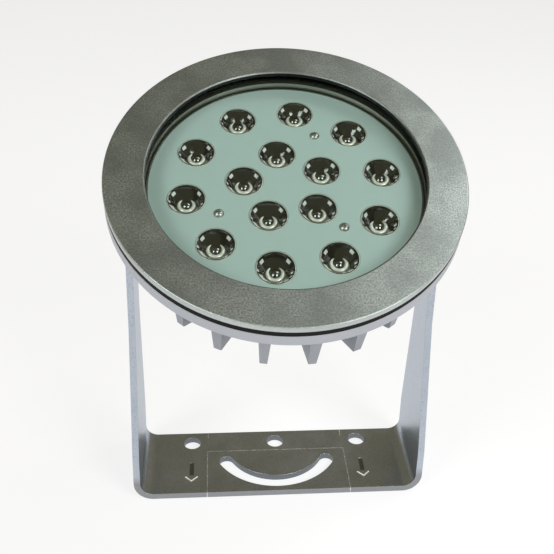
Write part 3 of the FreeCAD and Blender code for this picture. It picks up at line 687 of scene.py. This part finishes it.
def lens_painted_highlight(front):
    """Pale collar round the dome, running out to points on its upper side: a painted reflection of the lamps."""
    middle = collar_middle * MM
    foot = front + collar_foot * MM
    steps = 8
    mesh = bmesh.new()
    corners = []
    for i in range(steps + 1):
        a = math.pi * i / steps
        x = middle - collar_half_width * MM * math.cos(a)
        z = foot + collar_height * MM * math.sin(a)
        corners.append(mesh.verts.new((x, 0.0, z)))
    edges = [mesh.edges.new(pair) for pair in zip(corners, corners[1:] + corners[:1])]
    start = Matrix.Rotation(math.radians(-90.0 - collar_sweep / 2), 3, "Z")
    bmesh.ops.rotate(mesh, verts=corners, cent=(0.0, 0.0, 0.0), matrix=start)
    bmesh.ops.spin(
        mesh,
        geom=corners + edges,
        cent=(0.0, 0.0, 0.0),
        axis=(0.0, 0.0, 1.0),
        dvec=(0.0, 0.0, 0.0),
        angle=math.radians(collar_sweep),
        steps=44,
        use_merge=False,
    )
    for vert in mesh.verts:
        turn = abs(math.degrees(math.atan2(vert.co.x, -vert.co.y)))
        size = max(0.02, min(1.0, (collar_sweep / 2 - turn) / collar_taper)) ** 0.6
        reach = math.hypot(vert.co.x, vert.co.y)
        wanted = middle + 0.25 * MM * (1.0 - size) + (reach - middle) * size
        vert.co.x *= wanted / reach
        vert.co.y *= wanted / reach
        vert.co.z = foot + (vert.co.z - foot) * size
    open_edges = [edge for edge in mesh.edges if len(edge.link_faces) == 1]
    bmesh.ops.holes_fill(mesh, edges=open_edges, sides=0)
    bmesh.ops.recalc_face_normals(mesh, faces=mesh.faces[:])
    return mesh


def lens_rim(front):
    """Thin edge round the cup, painted pale as a highlight."""
    outline = [(10.6, -0.6), (10.6, -0.1), (10.5, 0.0)]
    outline += [(10.36, 0.0), (10.28, -0.12), (10.28, -0.6)]
    return spun([(r * MM, front + z * MM) for r, z in outline], 60)


def lenses():
    """All fifteen lenses, as one piece for each of their layers."""
    front = lamp_heights("lenses")[1]
    places = [Matrix.Translation((x, y, 0.0)) for x, y, _ in solids_of("lenses")]
    cup = lens_cup(front)
    shapes = [
        ("lens_painted_glints", painted_glint_plates(cup), "lens_painted_glint", 5.0),
        ("lens_cups", cup, "clear_lens", 5.0),
        ("lens_domes", lens_dome(front), "lens_dome", 50.0),
        ("lens_painted_highlights", lens_painted_highlight(front), "lens_painted_highlight", 50.0),
        ("lens_rims", lens_rim(front), "lens_painted_highlight", 50.0),
    ]
    for name, shape, finish, sharp in shapes:
        whole = join_copies([(shape, place) for place in places])
        shape.free()
        add_piece(
            name, whole, "lamp", "clear_lens", ["lenses"], sharp=sharp, placed=True, finish=finish
        )


node_slots = {part["node"]: part["material_slot"] for part in frame["record"]["subparts"]}
for node, thing in frame["nodes"].items():
    thing.data.materials.clear()
    thing.data.materials.append(finishes[node_slots[node]])

softened("mounting_bracket", "bracket", 0.35 * MM)
softened("finned_housing", "lamp", 0.7 * MM)
bezel()
glass()
flat_ring("front_glass_seal", seal_inner)
flat_ring("rear_glass_seal", rear_seal_inner)
gasket()
lenses()
softened("lens_panel", "lamp", 0.2 * MM)
for node in ("panel_screws", "bezel_screws", "rear_cover_screws"):
    softened(node, "lamp", 0.12 * MM)
for node in ("rear_cover", "gland_body", "gland_nut", "gland_seal", "gland_gasket"):
    softened(node, "lamp", 0.3 * MM)
for node in ("pivot_bolts", "pivot_spring_washers", "pivot_flat_washers"):
    softened(node, "lamp", 0.15 * MM)
for node in ("pivot_bush_left", "pivot_bush_right"):
    softened(node, "bracket", 0.2 * MM)


# ---- studio ----
def studio_floor():
    """Pale round floor that reaches far behind the lamp."""
    mesh = bmesh.new()
    bmesh.ops.create_circle(mesh, cap_ends=True, segments=96, radius=12.0)
    data = bpy.data.meshes.new("studio_floor")
    mesh.to_mesh(data)
    mesh.free()
    r = Recipe("pale_floor")
    at = r.place()
    cloud = r.noise(at, 0.8, 1.0)
    tone = r.blend(cloud, (0.25, 0.252, 0.258), (0.27, 0.272, 0.278))
    data.materials.append(
        r.surface(
            Base_Color=tone,
            Roughness=0.9,
            Emission_Color=(0.99, 0.993, 1.0),
            Emission_Strength=0.76,
        )
    )
    floor = bpy.data.objects.new("studio_floor", data)
    bpy.context.scene.collection.objects.link(floor)


def softbox(name, place, width, depth, power):
    """A lit rectangle that faces the middle of the lamp."""
    light = bpy.data.lights.new(name, "AREA")
    light.shape = "RECTANGLE"
    light.size = width
    light.size_y = depth
    light.energy = power
    thing = bpy.data.objects.new(name, light)
    thing.location = place
    towards = Vector((0.0, 0.0, 0.15)) - Vector(place)
    thing.rotation_euler = towards.to_track_quat("-Z", "Y").to_euler()
    bpy.context.scene.collection.objects.link(thing)


def studio_world():
    """Warm dim room for reflections, with a pale backdrop behind the floor."""
    world = bpy.data.worlds.new("studio")
    world.use_nodes = True
    tree = world.node_tree
    tree.nodes.clear()
    seen = tree.nodes.new("ShaderNodeBackground")
    seen.inputs["Color"].default_value = (0.9, 0.9, 0.9, 1.0)
    room = tree.nodes.new("ShaderNodeBackground")
    room.inputs["Color"].default_value = (0.222, 0.194, 0.124, 1.0)
    ray = tree.nodes.new("ShaderNodeLightPath")
    mix = tree.nodes.new("ShaderNodeMixShader")
    out = tree.nodes.new("ShaderNodeOutputWorld")
    tree.links.new(ray.outputs["Is Camera Ray"], mix.inputs[0])
    tree.links.new(room.outputs[0], mix.inputs[1])
    tree.links.new(seen.outputs[0], mix.inputs[2])
    tree.links.new(mix.outputs[0], out.inputs[0])
    bpy.context.scene.world = world


def studio_camera():
    """Camera in front of the lamp, looking down on it, with its lens shifted down."""
    camera = bpy.data.cameras.new("camera")
    camera.sensor_width = 36.0
    camera.lens = 58.95
    camera.shift_x = -0.0289
    camera.shift_y = -0.190
    camera.clip_start = 0.01
    camera.clip_end = 50.0
    thing = bpy.data.objects.new("camera", camera)
    turn = Matrix.Rotation(math.radians(-5.31), 4, "Z")
    pitch = Matrix.Rotation(math.radians(-23.20), 4, "X")
    roll = Matrix.Rotation(math.radians(-1.89), 4, "Y")
    upright = Matrix.Rotation(math.radians(90.0), 4, "X")
    place = Matrix.Translation((-0.03912, -0.46998, 0.41115))
    thing.matrix_world = place @ turn @ pitch @ roll @ upright
    bpy.context.scene.collection.objects.link(thing)
    bpy.context.scene.camera = thing


studio_floor()
studio_world()
studio_camera()
softbox("upper_right", (0.70, 0.2, 1.15), 0.5, 0.7, 5.4)
softbox("front_left", (-0.72, -0.68, 0.86), 0.5, 0.5, 5.8)
softbox("front_right", (0.57, -0.80, 0.86), 0.5, 0.5, 7.0)
bpy.context.scene.view_settings.view_transform = "Standard"
